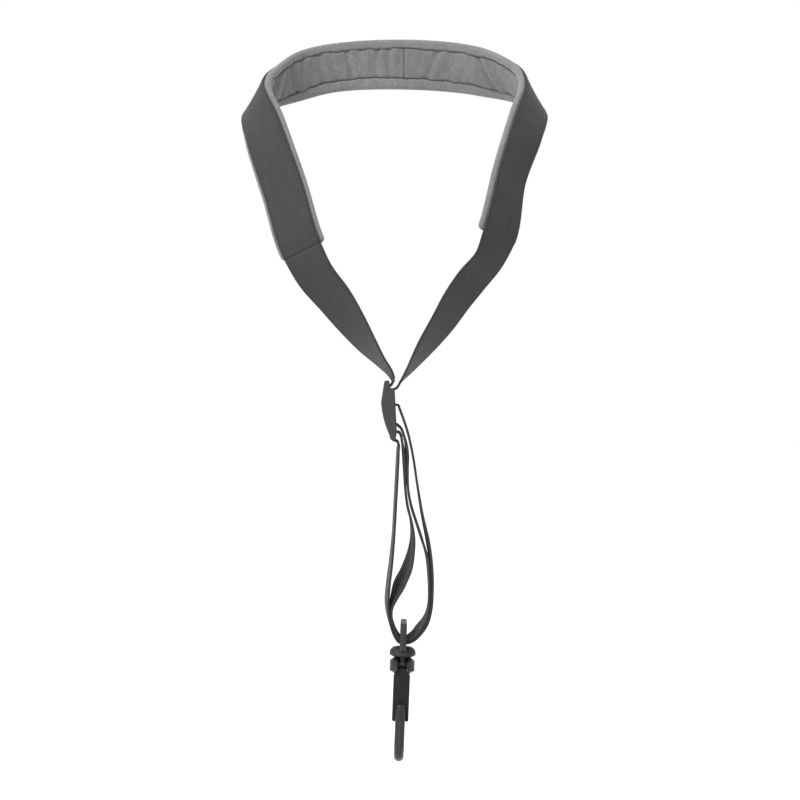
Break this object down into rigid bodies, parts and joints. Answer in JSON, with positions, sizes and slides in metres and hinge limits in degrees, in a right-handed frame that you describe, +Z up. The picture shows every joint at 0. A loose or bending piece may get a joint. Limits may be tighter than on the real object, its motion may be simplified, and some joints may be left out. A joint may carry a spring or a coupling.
{
  "type": "saxophone neck strap",
  "caption": "Padded neck strap with webbing drop, sliding height adjuster and swivel snap hook with sprung gate.",
  "frame": {"origin": "middle of the pad's inner face at the back of the neck, where the strap hangs from its wearer", "axes": "+Z up along the hanging strap, +Y out of the back of the neck, -Y the side that the hook hangs on, +X to the right as seen from the front"},
  "size_m": [0.1911, 0.1138, 0.4479],
  "materials": {
    "pad_felt": "brushed",
    "pad_lining": "brushed",
    "foam": "foam",
    "webbing": "woven",
    "thread": "twisted",
    "lining_thread": "twisted",
    "adjuster_plastic": "satin",
    "eye_plastic": "satin",
    "hook_plastic": "satin",
    "gate_plastic": "satin",
    "steel": "satin"
  },
  "bodies": {
    "neck_band": {"pad_foam": "foam", "pad_cover": "pad_felt", "pad_lining_left": "pad_lining", "pad_lining_right": "pad_lining", "pad_centre_seam": "lining_thread", "band_webbing": "webbing", "upper_edge_stitching": "thread", "lower_edge_stitching": "thread", "left_end_stitching": "thread", "right_end_stitching": "thread", "left_webbing_run": "webbing", "right_webbing_run": "webbing"},
    "adjuster": {"adjuster_frame": "adjuster_plastic", "left_webbing_pass": "webbing", "right_webbing_wrap": "webbing", "lower_webbing_wrap": "webbing", "right_outer_strand": "webbing", "right_inner_strand": "webbing", "left_inner_strand": "webbing", "left_outer_strand": "webbing"},
    "webbing_loop": {"outer_bight": "webbing", "inner_bight": "webbing"},
    "swivel_eye": {"swivel_eye": "eye_plastic"},
    "snap_hook": {"hook_body": "hook_plastic", "gate_pin": "steel", "gate_spring": "steel"},
    "gate": {"gate": "gate_plastic"}
  },
  "joints": [
    {"name": "adjuster_slide", "type": "slide", "parent": "neck_band", "child": "adjuster", "axis": [0, 0, 1], "range_m": [-0.12, 0.045], "deforming": ["left_webbing_run", "right_webbing_run"]},
    {"name": "hook_drop", "type": "slide", "parent": "adjuster", "child": "webbing_loop", "axis": [0, 0, 1], "range_m": [-0.0226, 0.0601], "deforming": ["right_outer_strand", "right_inner_strand", "left_inner_strand", "left_outer_strand"]},
    {"name": "eye_swing", "type": "hinge", "parent": "webbing_loop", "child": "swivel_eye", "pos_m": [0.00206, -0.09, -0.35462], "axis": [0, 1, 0], "range_deg": [-20, 30]},
    {"name": "hook_swivel", "type": "hinge", "parent": "swivel_eye", "child": "snap_hook", "pos_m": [0.0011, -0.09, -0.3795], "axis": [0.0384, 0, 0.9993], "continuous": true},
    {"name": "gate_hinge", "type": "hinge", "parent": "snap_hook", "child": "gate", "pos_m": [0.0012, -0.0934, -0.3769], "axis": [0.9993, 0, -0.0384], "range_deg": [0, 15], "stiffness_Nm_per_rad": 0.02, "springref_deg": -28.65, "deforming": ["gate_spring"]}
  ],
  "couplings": [
    {"joint": "hook_drop", "follows": "adjuster_slide", "ratio": -0.5}
  ]
}
